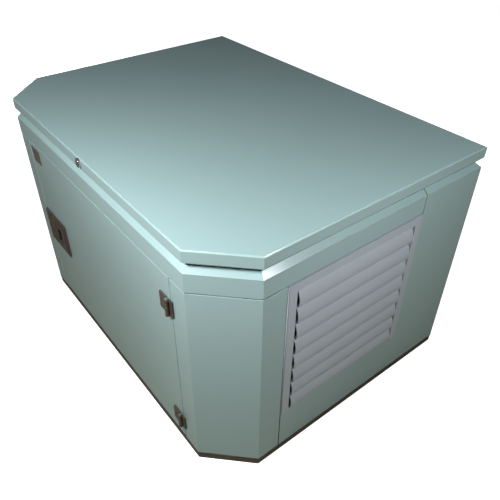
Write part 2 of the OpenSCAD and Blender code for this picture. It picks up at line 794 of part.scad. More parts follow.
module starter_motor() color(black) {
  rod([-250, starter_y, starter_z], [-145, starter_y, starter_z], 33);
  rod([-272, starter_y, starter_z], [-249, starter_y, starter_z], 24);
  rod([-240, starter_y, starter_z + 52], [-170, starter_y, starter_z + 52], 19);
  box([-235, starter_y - 8, starter_z + 25], [-215, starter_y + 8, starter_z + 40]);
  box([-240, starter_y + 20, starter_z - 15], [-200, -case_w, starter_z + 15]);
}

module exhaust() color([0.55, 0.5, 0.45]) difference() {
  exhaust_outside();
  rod([outlet_x, -muffler_l / 2 + 3, header_z], [outlet_x, muffler_l / 2 - 3, header_z], muffler_r - 3);
  rod([outlet_x, half_w - 20, outlet_z], [outlet_x, half_w + 15, outlet_z], outlet_r - 2.5);
}

module exhaust_outside() {
  for (s = [-1, 1]) {
    p = port(s, 1);
    out = (header_y - s * p.y);
    pipe([p, [p.x, s * header_y, p.z - out], [p.x + 60, s * header_y, header_z],
      [outlet_x, s * header_y, header_z], [outlet_x, s * (muffler_l / 2 - 5), header_z]], header_r);
  }
  rod([outlet_x, -muffler_l / 2, header_z], [outlet_x, muffler_l / 2, header_z], muffler_r);
  for (y = [-muffler_l / 2, -8, muffler_l / 2 - 8])
    rod([outlet_x, y, header_z], [outlet_x, y + 8, header_z], muffler_r + 3);
  for (y = [-120, 110])
    box([outlet_x - 30, y, floor_z], [outlet_x + 30, y + 5, header_z - 40]);
  pipe([[outlet_x, 150, header_z - 50], [outlet_x, 150, outlet_z],
    [outlet_x, half_w + 14, outlet_z]], outlet_r);
  rod([outlet_x, half_w, outlet_z], [outlet_x, half_w + 2.5, outlet_z], outlet_r + 12);
}

/* ---------- services ---------- */
battery_x = 55;
battery_y = -395;
battery_w = 173;
battery_h = 180;

module battery() color(black) {
  box([battery_x, battery_y, floor_z], [battery_x + battery_l, battery_y + battery_w, floor_z + battery_h]);
  box([battery_x + 3, battery_y + 3, floor_z + battery_h - eps],
    [battery_x + battery_l - 3, battery_y + battery_w - 3, floor_z + battery_h + 14]);
  for (x = [30, battery_l - 30])
    rod([battery_x + x, battery_y + 130, floor_z + battery_h + 13],
      [battery_x + x, battery_y + 130, floor_z + battery_h + 30], 9);
}

box_x = [-400, 60];
box_y = -400;
box_d = 80;
box_z = [430, 600];

module wiring() color(black) {
  post_z = floor_z + battery_h + 30;
  post_y = battery_y + 130;
  pipe([[battery_x + 30, post_y, post_z], [battery_x + 30, post_y, 300], [-190, post_y, 300],
    [-190, starter_y - 10, starter_z + 71]], 5);
  pipe([[battery_x + battery_l - 30, post_y, post_z], [battery_x + battery_l - 30, post_y, 270],
    [bell_x + 25, -90, crank_z + 86]], 5);
  pipe([[65, -45, 360], [65, -160, 360], [35, -250, 500], [35, box_y + box_d, 500]], 10);
  for (s = [-1, 1]) {
    tip = [engine_x + s * stagger + head_w + 34, s * (head_z + 30) * sqrt(0.5), crank_z + (head_z + 30) * sqrt(0.5)];
    x = tip.x + 24;
    pipe([tip, [x, tip.y, tip.z], [x, -260, tip.z], [x, -260, 480], [x, box_y + box_d, 480]], 4);
  }
}

module gas_regulator() color(iron) {
  rod([gas_x, half_w - 60, gas_z], [gas_x, half_w + 14, gas_z], gas_r);
  rod([gas_x, half_w, gas_z], [gas_x, half_w + 2, gas_z], gas_r + 8);
  rod([gas_x, half_w - 120, gas_z], [gas_x, half_w - 59, gas_z], 48);
  rod([gas_x, half_w - 92, gas_z], [gas_x, half_w - 86, gas_z], 60);
  box([gas_x - 20, half_w - 110, floor_z], [gas_x + 20, half_w - 70, gas_z - 40]);
  rod([gas_x, half_w - 89, gas_z + 40], [gas_x, half_w - 89, gas_z + 75], 14);
}

module gas_hose() color(black)
  pipe([[gas_x, half_w - 89, gas_z + 75], [gas_x, half_w - 89, mixer_z + 25], [gas_x, 0, mixer_z + 25],
    [engine_x - 32, 0, mixer_z + 25]], 11);

module conduit_gland() color(black) difference() {
  union() {
    rod([gland_x, half_w - 22, gland_z], [gland_x, half_w + 10, gland_z], gland_r);
    rod([gland_x, half_w, gland_z], [gland_x, half_w + 14, gland_z], gland_r + 6);
    rod([gland_x, half_w - 14, gland_z], [gland_x, half_w - sheet_t, gland_z], gland_r + 8, $fn = 6);
  }
  rod([gland_x, half_w - 23, gland_z], [gland_x, half_w + 15, gland_z], 13);
}

button_x = box_x[0] + 40;
button_z = box_z[0] + 50;
breaker_x = [-50, 30];
breaker_z = [455, 575];
toggle_z = 515;
toggle_y = box_y - 6;
toggle_x = (breaker_x[0] + breaker_x[1]) / 2;
toggle_pin_r = 2;

module control_box() color(louvre_grey) {
  difference() {
    box([box_x[0], box_y, box_z[0]], [box_x[1], box_y + box_d, box_z[1]]);
    rod([button_x, box_y - 1, button_z], [button_x, box_y + 14, button_z], 10.3);
  }
  difference() {
    box([box_x[0] + 90, box_y - 4, box_z[0] + 60], [box_x[0] + 290, box_y + eps, box_z[1] - 15]);
    box([box_x[0] + 100, box_y - 5, box_z[0] + 90], [box_x[0] + 280, box_y - 2, box_z[1] - 25]);
  }
  for (x = [box_x[0] + 10, box_x[1] - 40])
    box([x, box_y + 20, floor_z], [x + 30, box_y + 50, box_z[0] + eps]);
}

module breaker() color(black) {
  difference() {
    box([breaker_x[0], box_y - 18, breaker_z[0]], [breaker_x[1], box_y, breaker_z[1]]);
    box([toggle_x - 13, box_y - 19, toggle_z - 24], [toggle_x + 13, box_y - 0.5, toggle_z + 24]);
  }
  rod([toggle_x - 14, toggle_y, toggle_z], [toggle_x + 14, toggle_y, toggle_z], toggle_pin_r);
}

module breaker_toggle() color("white") {
  difference() {
    union() {
      rod([toggle_x - 12, toggle_y, toggle_z], [toggle_x + 12, toggle_y, toggle_z], 5);
      box([toggle_x - 7, toggle_y - 18, toggle_z - 3], [toggle_x + 7, toggle_y, toggle_z + 3]);
    }
    rod([toggle_x - 15, toggle_y, toggle_z], [toggle_x + 15, toggle_y, toggle_z], toggle_pin_r + pin_gap);
  }
}

module stop_button() color("red") {
  rod([button_x, box_y - 14, button_z], [button_x, box_y + 8, button_z], 10);
  rod([button_x, box_y - 24, button_z], [button_x, box_y - 13, button_z], 20);
}

/* ---------- what is drawn ---------- */
base_frame();
base_floor();
corner_panel(-1);  // corner_panel_left
corner_panel(1);  // corner_panel_right
top_band();
rear_panel();
end_panel(-1);  // side_panel_left
end_panel(1);  // side_panel_right
door_frame();
seals();
bulkhead();
wall_foam();
louvre_frame();
intake_grille();
fixed_hardware();
hinge_pins();
conduit_gland();
door_panel();
door_hinge_leaves();
latch_plate();
rating_plate();
paddle();
latch_bolt();
lid_shell();
lid_hinge_leaves();
lid_lock();
vane(1);  // vane_1
vane(2);  // vane_2
vane(3);  // vane_3
vane(4);  // vane_4
vane(5);  // vane_5
vane(6);  // vane_6
vane(7);  // vane_7
vane(8);  // vane_8
rubber_mounts();
mount_bolts();
crankcase();
cylinders();
cylinder_heads();
spark_plugs();
fan_shroud();
crankshaft();
flywheel();
rotor();
stator();
end_bell();
gas_mixer();
air_filter_box();
oil_filter();
dipstick();
starter_motor();
exhaust();
battery();
wiring();
gas_regulator();
gas_hose();
control_box();
breaker();
breaker_toggle();
stop_button();
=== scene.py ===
"""Looks of a home standby generator: paints, plastics, metals, small detail, camera and lights.

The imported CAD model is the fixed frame. Metres, +X the shutter end, -Y the door side, +Z up.
"""

import json
import math

import bmesh
import bpy
from mathutils import Matrix, Quaternion, Vector


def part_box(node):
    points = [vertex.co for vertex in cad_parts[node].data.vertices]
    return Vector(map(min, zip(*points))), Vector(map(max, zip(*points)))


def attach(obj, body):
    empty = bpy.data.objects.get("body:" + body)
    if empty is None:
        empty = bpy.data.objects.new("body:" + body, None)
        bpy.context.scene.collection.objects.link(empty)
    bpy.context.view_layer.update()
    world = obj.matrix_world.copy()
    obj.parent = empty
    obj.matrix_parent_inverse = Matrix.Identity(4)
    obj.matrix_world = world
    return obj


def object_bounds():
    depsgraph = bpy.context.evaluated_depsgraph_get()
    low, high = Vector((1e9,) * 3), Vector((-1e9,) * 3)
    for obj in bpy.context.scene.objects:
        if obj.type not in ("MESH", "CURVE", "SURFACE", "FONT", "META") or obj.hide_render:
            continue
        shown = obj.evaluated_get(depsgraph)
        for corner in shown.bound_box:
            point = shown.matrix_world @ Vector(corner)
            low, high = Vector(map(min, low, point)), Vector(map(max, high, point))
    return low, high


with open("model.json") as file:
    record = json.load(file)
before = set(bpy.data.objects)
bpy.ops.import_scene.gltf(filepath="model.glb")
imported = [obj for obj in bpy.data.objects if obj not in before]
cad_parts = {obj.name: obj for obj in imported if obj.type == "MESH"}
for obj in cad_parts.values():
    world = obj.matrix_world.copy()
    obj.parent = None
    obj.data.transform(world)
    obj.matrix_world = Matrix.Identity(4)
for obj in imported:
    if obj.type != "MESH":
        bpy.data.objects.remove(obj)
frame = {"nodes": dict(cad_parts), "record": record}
NODES = frame["nodes"]
cad_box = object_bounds()
FLOOR_LEVEL = cad_box[0].z
MM = 0.001


# ---------------------------------------------------------------- materials
def srgb(red, green, blue):
    """Linear colour from 0-255 display values."""
    def linear(value):
        value /= 255
        return value / 12.92 if value <= 0.04045 else ((value + 0.055) / 1.055) ** 2.4
    return (linear(red), linear(green), linear(blue), 1.0)


class Shader:
    """A Principled material with helpers for procedural detail in object coordinates."""

    def __init__(self, name, base, rough, metal=0.0):
        self.material = bpy.data.materials.new(name)
        self.material.use_nodes = True
        self.tree = self.material.node_tree
        self.bsdf = self.tree.nodes["Principled BSDF"]
        self.base = base
        self.bsdf.inputs["Base Color"].default_value = base
        self.bsdf.inputs["Roughness"].default_value = rough
        self.bsdf.inputs["Metallic"].default_value = metal
        self.coords = self.tree.nodes.new("ShaderNodeTexCoord").outputs["Object"]
        self.colour_out = None
        self.height = None
        self.material.diffuse_color = base

    def node(self, kind, **values):
        made = self.tree.nodes.new(kind)
        for key, value in values.items():
            setattr(made, key, value)
        return made

    def link(self, start, end):
        self.tree.links.new(start, end)

    def stretched(self, stretch):
        mapping = self.node("ShaderNodeMapping")
        mapping.inputs["Scale"].default_value = stretch
        self.link(self.coords, mapping.inputs["Vector"])
        return mapping.outputs["Vector"]

    def noise(self, scale, detail=2.0, stretch=(1, 1, 1)):
        made = self.node("ShaderNodeTexNoise")
        made.inputs["Scale"].default_value = scale
        made.inputs["Detail"].default_value = detail
        self.link(self.stretched(stretch), made.inputs["Vector"])
        return made.outputs["Fac"]

    def spread(self, value, low, high, to_low, to_high):
        """Maps low..high of value to to_low..to_high, clamped."""
        made = self.node("ShaderNodeMapRange")
        limits = (("From Min", low), ("From Max", high), ("To Min", to_low), ("To Max", to_high))
        for name, number in limits:
            made.inputs[name].default_value = number
        self.link(value, made.inputs["Value"])
        return made.outputs["Result"]

    def tint(self, factor, colour):
        """Mixes colour over what the base colour is so far, by factor."""
        mix = self.node("ShaderNodeMix", data_type="RGBA")
        mix.inputs["A"].default_value = self.base
        if self.colour_out is not None:
            self.link(self.colour_out, mix.inputs["A"])
        mix.inputs["B"].default_value = colour
        self.link(factor, mix.inputs["Factor"])
        self.colour_out = mix.outputs["Result"]
        self.link(self.colour_out, self.bsdf.inputs["Base Color"])

    def roughness(self, value):
        self.link(value, self.bsdf.inputs["Roughness"])

    def bump(self, height, distance, strength=1.0):
        made = self.node("ShaderNodeBump")
        made.inputs["Strength"].default_value = strength
        made.inputs["Distance"].default_value = distance
        self.link(height, made.inputs["Height"])
        if self.height is not None:
            self.link(self.height, made.inputs["Normal"])
        self.height = made.outputs["Normal"]
        self.link(self.height, self.bsdf.inputs["Normal"])

    def coat(self, weight, rough):
        self.bsdf.inputs["Coat Weight"].default_value = weight
        self.bsdf.inputs["Coat Roughness"].default_value = rough

    def height_above(self, low, high):
        """0 at height low and 1 at height high, in metres."""
        split = self.node("ShaderNodeSeparateXYZ")
        self.link(self.coords, split.inputs["Vector"])
        return self.spread(split.outputs["Z"], low, high, 0.0, 1.0)


def shade_of(colour, factor):
    return (colour[0] * factor, colour[1] * factor, colour[2] * factor, 1.0)


def paint(name, colour, rough, coat):
    """Powder coat: fine orange peel, faint cloudiness and a dust film that dulls it in places."""
    made = Shader(name, colour, rough)
    made.tint(made.spread(made.noise(2.2, 3.0), 0.35, 0.7, 0.0, 0.35), shade_of(colour, 0.9))
    made.tint(made.spread(made.noise(38, 5.0), 0.55, 0.8, 0.0, 0.12), shade_of(colour, 1.12))
    made.roughness(made.spread(made.noise(5, 4.0), 0.3, 0.75, rough - 0.05, rough + 0.08))
    made.bump(made.noise(620, 2.0), 0.00012, 0.5)
    made.bump(made.noise(2600, 1.0), 0.00004, 0.5)
    made.coat(coat, 0.16)
    return made


def plastic(name, colour, rough, grain=900):
    """Moulded plastic with a fine spark-eroded grain."""
    made = Shader(name, colour, rough)
    made.tint(made.spread(made.noise(7, 4.0), 0.4, 0.75, 0.0, 0.25), shade_of(colour, 0.86))
    made.roughness(made.spread(made.noise(60, 3.0), 0.3, 0.7, rough - 0.06, rough + 0.08))
    made.bump(made.noise(grain, 2.0), 0.0001, 0.55)
    return made


def rubber(name, colour):
    made = Shader(name, colour, 0.78)
    made.tint(made.spread(made.noise(90, 4.0), 0.5, 0.8, 0.0, 0.3), shade_of(colour, 2.2))
    made.bump(made.noise(1500, 2.0), 0.00015, 0.6)
    return made


def foam():
    """Open-cell acoustic foam in small pyramids."""
    colour = srgb(58, 58, 61)
    made = Shader("acoustic_foam", colour, 0.95)
    cells = made.node("ShaderNodeTexVoronoi", feature="F1")
    cells.inputs["Scale"].default_value = 38
    cells.inputs["Randomness"].default_value = 0.0
    made.link(made.coords, cells.inputs["Vector"])
    # Painted shade: the tint darkens towards the cell edges, the low ground of the bump, where shade falls
    # between the pyramids.
    made.tint(made.spread(cells.outputs["Distance"], 0.15, 0.6, 0.0, 0.75), shade_of(colour, 0.25))
    made.bump(made.spread(cells.outputs["Distance"], 0.0, 0.7, 1.0, 0.0), 0.012, 0.8)
    made.bump(made.noise(800, 3.0), 0.0006, 0.7)
    return made


def brushed(name, colour, rough, stretch=(1, 1, 40), metal=1.0):
    """Rolled or brushed metal with fine lines along one direction."""
    made = Shader(name, colour, rough, metal)
    lines = made.noise(180, 3.0, stretch)
    made.tint(made.spread(lines, 0.35, 0.65, 0.0, 0.35), shade_of(colour, 0.75))
    made.roughness(made.spread(lines, 0.3, 0.7, rough - 0.08, rough + 0.1))
    made.bump(lines, 0.00006, 0.4)
    return made


def galvanised():
    """Zinc-plated sheet with its faint spangle."""
    colour = srgb(176, 180, 183)
    made = Shader("zinc_steel", colour, 0.38, 0.9)
    cells = made.node("ShaderNodeTexVoronoi", feature="F1")
    cells.inputs["Scale"].default_value = 70
    made.link(made.coords, cells.inputs["Vector"])
    split = made.node("ShaderNodeSeparateColor")
    made.link(cells.outputs["Color"], split.inputs["Color"])
    made.tint(made.spread(split.outputs["Red"], 0.2, 0.9, 0.0, 0.45), shade_of(colour, 0.72))
    made.roughness(made.spread(split.outputs["Green"], 0.1, 0.9, 0.3, 0.5))
    return made


def casting(name, colour, rough, metal):
    """Sand-cast surface: coarse pimpled skin and darker grime in the hollows of the noise."""
    made = Shader(name, colour, rough, metal)
    grime = made.noise(26, 6.0)
    made.tint(made.spread(grime, 0.52, 0.75, 0.0, 0.6), shade_of(colour, 0.45))
    made.roughness(made.spread(grime, 0.4, 0.7, rough, rough + 0.2))
    made.bump(made.noise(420, 4.0), 0.0006, 0.6)
    return made


def die_cast_hardware():
    """Dark powder-coated zinc of the hinges and the latch, rubbed a little brighter in places."""
    colour = srgb(98, 86, 79)
    made = Shader("hardware_paint", colour, 0.36, 0.35)
    made.tint(made.spread(made.noise(45, 5.0), 0.5, 0.78, 0.0, 0.55), srgb(120, 111, 103))
    made.tint(made.spread(made.noise(12, 3.0), 0.55, 0.8, 0.0, 0.5), srgb(62, 56, 51))
    made.roughness(made.spread(made.noise(80, 3.0), 0.35, 0.7, 0.34, 0.55))
    made.bump(made.noise(700, 3.0), 0.00015, 0.7)
    return made


def base_paint():
    """Dark paint of the base strip, dusty towards the ground."""
    colour = srgb(84, 77, 66)
    made = Shader("base_paint", colour, 0.45, 0.1)
    made.tint(made.spread(made.noise(30, 5.0), 0.45, 0.75, 0.0, 0.5), srgb(110, 101, 88))
    dusty = made.node("ShaderNodeMath", operation="SUBTRACT")
    dusty.inputs[0].default_value = 0.35
    made.link(made.height_above(0.0, 0.03), dusty.inputs[1])
    made.tint(dusty.outputs["Value"], srgb(112, 102, 88))
    made.bump(made.noise(500, 3.0), 0.0002, 0.6)
    return made


def heat_tinted():
    """Exhaust steel, straw to blue where it gets hot."""
    colour = srgb(150, 142, 130)
    made = Shader("exhaust_steel", colour, 0.36, 1.0)
    made.tint(made.spread(made.noise(9, 4.0), 0.4, 0.7, 0.0, 0.7), srgb(146, 112, 74))
    made.tint(made.spread(made.noise(6, 3.0), 0.55, 0.75, 0.0, 0.5), srgb(88, 92, 122))
    made.roughness(made.spread(made.noise(40, 4.0), 0.3, 0.7, 0.3, 0.55))
    made.bump(made.noise(300, 3.0), 0.0001, 0.5)
    return made


def copper_winding():
    """Varnished copper coils: tight turns wound round the shaft."""
    colour = srgb(150, 82, 44)
    made = Shader("winding", colour, 0.35, 0.6)
    turns = made.node("ShaderNodeTexWave", wave_type="BANDS", bands_direction="X")
    turns.inputs["Scale"].default_value = 160
    turns.inputs["Distortion"].default_value = 0.4
    made.link(made.coords, turns.inputs["Vector"])
    # Painted shade: the tint darkens the low part of each band, the groove between turns in the bump.
    made.tint(made.spread(turns.outputs["Fac"], 0.1, 0.5, 0.8, 0.0), shade_of(colour, 0.3))
    made.bump(turns.outputs["Fac"], 0.001, 0.6)
    return made


MATERIALS = {
    "body_paint": paint("body_paint", srgb(170, 200, 201), 0.36, 0.45),
    "base_paint": base_paint(),
    "hardware_paint": die_cast_hardware(),
    "shutter_plastic": plastic("shutter_plastic", srgb(190, 200, 209), 0.5),
    "seal_rubber": rubber("seal_rubber", srgb(26, 26, 27)),
    "foam": foam(),
    "zinc_steel": galvanised(),
    "bright_steel": brushed("bright_steel", srgb(205, 206, 208), 0.2, (40, 1, 1)),
    "chrome": brushed("chrome", srgb(206, 208, 210), 0.13, (1, 1, 1), 0.88),
    "plate_brown": brushed("plate_brown", srgb(132, 120, 111), 0.42, (1, 1, 30), 0.3),
    "black_plastic": plastic("black_plastic", srgb(34, 34, 36), 0.5),
    "cast_aluminium": casting("cast_aluminium", srgb(172, 174, 176), 0.42, 0.85),
    "cast_iron": casting("cast_iron", srgb(92, 92, 95), 0.5, 0.7),
    "winding": copper_winding(),
    "stator_paint": casting("stator_paint", srgb(66, 72, 78), 0.45, 0.2),
    "spark_ceramic": plastic("spark_ceramic", srgb(236, 235, 228), 0.15, 300),
    "filter_paint": paint("filter_paint", srgb(224, 222, 214), 0.3, 0.4),
    "starter_paint": paint("starter_paint", srgb(30, 31, 33), 0.35, 0.3),
    "exhaust_steel": heat_tinted(),
    "battery_plastic": plastic("battery_plastic", srgb(36, 37, 40), 0.36),
    "cable_rubber": rubber("cable_rubber", srgb(24, 24, 26)),
    "control_plastic": plastic("control_plastic", srgb(104, 108, 114), 0.45),
    "white_plastic": plastic("white_plastic", srgb(226, 226, 220), 0.3),
    "red_plastic": plastic("red_plastic", srgb(196, 30, 24), 0.3),
}

SLOT_OF = {part["node"]: part["material_slot"] for part in frame["record"]["subparts"]}


def dress(node, material):
    """Gives every material slot of a CAD node one material."""
    mesh = NODES[node].data
    mesh.materials.clear()
    mesh.materials.append(material)
    for face in mesh.polygons:
        face.material_index = 0


for node_name, slot_name in SLOT_OF.items():
    dress(node_name, MATERIALS[slot_name].material)


# ---------------------------------------------------------------- edges
def soften(node, width, segments=3, angle=30):
    """Rounds a CAD node's sharp edges in the render, by modifiers only."""
    piece = NODES[node]
    for face in piece.data.polygons:
        face.use_smooth = True
    weld = piece.modifiers.new("weld", "WELD")
    weld.merge_threshold = 0.01 * MM
    bevel = piece.modifiers.new("soft_edges", "BEVEL")
    bevel.width = width
    bevel.segments = segments
    bevel.limit_method = "ANGLE"
    bevel.angle_limit = math.radians(angle)
    bevel.use_clamp_overlap = True
    bevel.miter_outer = "MITER_ARC"
    flat = piece.modifiers.new("flat_faces", "WEIGHTED_NORMAL")
    flat.mode = "FACE_AREA"
    flat.weight = 80
    flat.keep_sharp = False


EDGE_OF = {
    1.4 * MM: ["corner_panel_left", "corner_panel_right", "top_band", "rear_panel", "side_panel_left",
               "side_panel_right", "door_panel", "lid_shell"],
    0.9 * MM: ["base_frame"],
    0.7 * MM: ["door_frame", "bulkhead", "base_floor", "fixed_hardware", "door_hinge_leaves",
               "lid_hinge_leaves", "latch_bolt", "rating_plate", "louvre_frame", "intake_grille",
               "control_box", "breaker", "breaker_toggle"],
    1.2 * MM: ["latch_plate", "paddle", "air_filter_box", "stator", "starter_motor", "stop_button",
               "conduit_gland", "crankcase", "end_bell", "cylinder_heads", "cylinders", "fan_shroud",
               "flywheel", "exhaust", "oil_filter", "gas_regulator"],
    3.0 * MM: ["battery"],
}
for edge_width, edge_nodes in EDGE_OF.items():
    for edge_node in edge_nodes:
        soften(edge_node, edge_width)


# ---------------------------------------------------------------- mesh helpers
def ring(bm, points):
    return [bm.verts.new(point) for point in points]


def bridge(bm, first, second):
    """Quads between two closed rings of the same length."""
    count = len(first)
    for k in range(count):
        bm.faces.new((first[k], first[(k + 1) % count], second[(k + 1) % count], second[k]))


def frame_to(place, normal, turn=0.0):
    """Matrix that puts local +Z along normal, with its origin at place."""
    spin = Vector(normal).to_track_quat("Z", "Y") @ Quaternion((0, 0, 1), turn)
    return Matrix.Translation(Vector(place)) @ spin.to_matrix().to_4x4()


def lathe(bm, profile, matrix, sides=32):
    """Closed turned shape about local +Z; the profile runs from (0, z) to (0, z) by way of (r, z)."""
    rings = []
    for radius, height in profile:
        if radius == 0:
            rings.append([bm.verts.new(matrix @ Vector((0, 0, height)))])
            continue
        turn = 2 * math.pi / sides
        hoop = [(radius * math.cos(turn * k), radius * math.sin(turn * k), height) for k in range(sides)]
        rings.append(ring(bm, [matrix @ Vector(point) for point in hoop]))
    for first, second in zip(rings, rings[1:]):
        if len(first) > 1 and len(second) > 1:
            bridge(bm, first, second)
        else:
            tip, hoop = (first[0], second) if len(first) == 1 else (second[0], first)
            for k in range(sides):
                edge = (hoop[k], hoop[(k + 1) % sides])
                bm.faces.new((tip, edge[1], edge[0]) if len(first) == 1 else (tip, edge[0], edge[1]))


def slab(bm, outline, z0, z1, matrix):
    """Flat plate with the given outline between two local levels."""
    low = ring(bm, [matrix @ Vector((x, y, z0)) for x, y in outline])
    high = ring(bm, [matrix @ Vector((x, y, z1)) for x, y in outline])
    bridge(bm, low, high)
    bm.faces.new(high)
    bm.faces.new(low[::-1])


def rounded(width, height, radius, steps=5):
    """Outline of a rectangle with rounded corners, centred on the origin."""
    points = []
    for corner, (sx, sy) in enumerate(((1, 1), (-1, 1), (-1, -1), (1, -1))):
        for k in range(steps + 1):
            angle = math.pi / 2 * (corner + k / steps)
            points.append((sx * (width / 2 - radius) + radius * math.cos(angle),
                           sy * (height / 2 - radius) + radius * math.sin(angle)))
    return points


def tube(bm, path, radius, sides=12, closed=False):
    """Round bar along a path of points."""
    path = [Vector(point) for point in path]
    count = len(path)
    rings = []
    side = None
    for k, point in enumerate(path):
        ahead = path[(k + 1) % count] if closed or k < count - 1 else point
        behind = path[k - 1] if closed or k > 0 else point
        along = (ahead - behind).normalized()
        if side is None:
            side = along.orthogonal().normalized()
        side = (side - along * side.dot(along)).normalized()
        up = along.cross(side)
        rings.append(ring(bm, [point + (side * math.cos(a) + up * math.sin(a)) * radius
                               for a in (2 * math.pi * j / sides for j in range(sides))]))
    for first, second in zip(rings, rings[1:]):
        bridge(bm, first, second)
    if closed:
        bridge(bm, rings[-1], rings[0])
    else:
        bm.faces.new(rings[-1])
        bm.faces.new(rings[0][::-1])


def circle_points(centre, normal, radius, count=40):
    matrix = frame_to(centre, normal)
    return [matrix @ Vector((radius * math.cos(a), radius * math.sin(a), 0))
            for a in (2 * math.pi * k / count for k in range(count))]


def finish_piece(name, bm, body, slot, bevel=0.0, material=None):
    """Makes the object of a detail piece: normals out, smooth, bevelled, on its body and slot."""
    bmesh.ops.recalc_face_normals(bm, faces=bm.faces)
    mesh = bpy.data.meshes.new(name)
    bm.to_mesh(mesh)
    bm.free()
    for face in mesh.polygons:
        face.use_smooth = True
    mesh.materials.append(material or MATERIALS[slot].material)
    piece = bpy.data.objects.new(name, mesh)
    bpy.context.scene.collection.objects.link(piece)
    if bevel:
        edges = piece.modifiers.new("soft_edges", "BEVEL")
        edges.width = bevel
        edges.segments = 2
        edges.limit_method = "ANGLE"
        edges.angle_limit = math.radians(35)
        flat = piece.modifiers.new("flat_faces", "WEIGHTED_NORMAL")
        flat.weight = 80
    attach(piece, body)
    return piece


def hex_screw(bm, place, normal, across, turn=0.0):
    """Flanged hexagon screw head, standing on a surface."""
    matrix = frame_to(place, normal, turn)
    lathe(bm, [(0, 0), (across * 0.72, 0), (across * 0.72, across * 0.08), (across * 0.5, across * 0.14),
               (0, across * 0.14)], matrix, 24)
    head = across * 0.57
    lathe(bm, [(0, across * 0.1), (head, across * 0.1), (head, across * 0.48), (head * 0.88, across * 0.56),
               (0, across * 0.56)], matrix, 6)


def screws(name, places, normal, across, body, slot="zinc_steel"):
    bm = bmesh.new()
    for k, place in enumerate(places):
        hex_screw(bm, place, normal, across, 0.4 * k)
    return finish_piece(name, bm, body, slot, 0.15 * MM)


# ---------------------------------------------------------------- detail pieces
BODY_CUT = 120 * MM      # cut of the front corners along each wall


def plan(inset):
    """Outline of the enclosure, moved inwards."""
    wall_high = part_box("rear_panel")[1]
    half_l, half_w = wall_high.x + 0.5 * MM - inset, wall_high.y - inset
    cut = BODY_CUT - inset * (2 - math.sqrt(2))
    return [(half_l, half_w), (-half_l, half_w), (-half_l, -half_w + cut), (-half_l + cut, -half_w),
            (half_l - cut, -half_w), (half_l, -half_w + cut)]


def make_base_lip():
    """Rolled upper edge of the base frame, just proud of the panels."""
    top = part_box("base_frame")[1].z
    bm = bmesh.new()
    rings = []
    for inset, drop in ((0.9, 0.0), (-0.3, 0.2), (-0.9, 0.9), (-0.9, 3.0), (-0.3, 3.7), (0.9, 3.9)):
        rings.append(ring(bm, [(x, y, top - drop * MM) for x, y in plan(inset * MM)]))
    for first, second in zip(rings, rings[1:]):
        bridge(bm, first, second)
    bridge(bm, rings[-1], rings[0])
    finish_piece("base_lip", bm, "enclosure", "base_paint", 0.3 * MM)


def make_latch_slot_shade_and_grip():
    """Black cup in the finger slot of the latch, behind the paddle's free edge: a dark sheet of painted
    shade for the slot's hollow.
    """
    plate_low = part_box("latch_plate")[0]
    paddle_low, paddle_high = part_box("paddle")
    middle = (paddle_low.z + paddle_high.z) / 2
    slot_half = 27.9 * MM        # half the slot's height, less a hair
    left = paddle_high.x + 1.2 * MM
    right = paddle_high.x + 29.4 * MM
    lip = plate_low.y + 2.2 * MM
    behind = paddle_high.y + 0.8 * MM
    floor = plate_low.y + 25.9 * MM    # the dish's inner face
    wall = 0.8 * MM
    bm = bmesh.new()
    outer = ring(bm, [(left, behind, middle - slot_half), (right, lip, middle - slot_half),
                      (right, lip, middle + slot_half), (left, behind, middle + slot_half)])
    outer_back = ring(bm, [(left, floor, middle - slot_half), (right, floor, middle - slot_half),
                           (right, floor, middle + slot_half), (left, floor, middle + slot_half)])
    low, high = middle - slot_half + wall, middle + slot_half - wall
    inner = ring(bm, [(left + wall, behind, low), (right - wall, lip, low), (right - wall, lip, high),
                      (left + wall, behind, high)])
    inner_back = ring(bm, [(left + wall, floor - wall, low), (right - wall, floor - wall, low),
                           (right - wall, floor - wall, high), (left + wall, floor - wall, high)])
    for first, second in ((outer, inner), (inner, inner_back), (outer, outer_back)):
        bridge(bm, first, second)
    bm.faces.new(inner_back)
    bm.faces.new(outer_back)
    # The black cup paints the shade inside the finger slot, on its walls and floor.
    finish_piece("latch_slot_painted_shade", bm, "door", "black_plastic", 0.2 * MM)
    bm = bmesh.new()
    edge = (paddle_low.y + paddle_high.y) / 2
    half_t = (paddle_high.y - paddle_low.y) / 2
    strip = [(-half_t, -0.4 * MM), (half_t, -0.4 * MM), (half_t, 0.3 * MM), (half_t * 0.5, 0.9 * MM),
             (-half_t * 0.5, 0.9 * MM), (-half_t, 0.3 * MM)]
    along = Matrix(((0, 1, 0, paddle_high.x), (1, 0, 0, edge), (0, 0, 1, middle), (0, 0, 0, 1)))
    slab(bm, strip, -slot_half + wall, slot_half - wall, along)
    finish_piece("paddle_grip", bm, "paddle", "black_plastic", 0.2 * MM)


def make_shutter_gasket():
    """Pale strip that closes the gap between the shutter frame and the corner panel."""
    low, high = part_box("louvre_frame")
    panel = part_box("corner_panel_right")[1]
    bm = bmesh.new()
    sill_lap = 22 * MM       # part of the frame that lies behind the sill
    set_back = 3.6 * MM      # from the frame's face
    centre = Vector((high.x - set_back, (panel.y + low.y) / 2, 0))
    half = (low.y - panel.y) / 2 + 0.3 * MM
    bottom = low.z + sill_lap
    slab(bm, [(-2 * MM, -half), (2.2 * MM, -half), (2.6 * MM, 0), (2.2 * MM, half), (-2 * MM, half)],
         bottom, high.z, Matrix.Translation(centre))
    finish_piece("shutter_gasket", bm, "enclosure", "shutter_plastic")


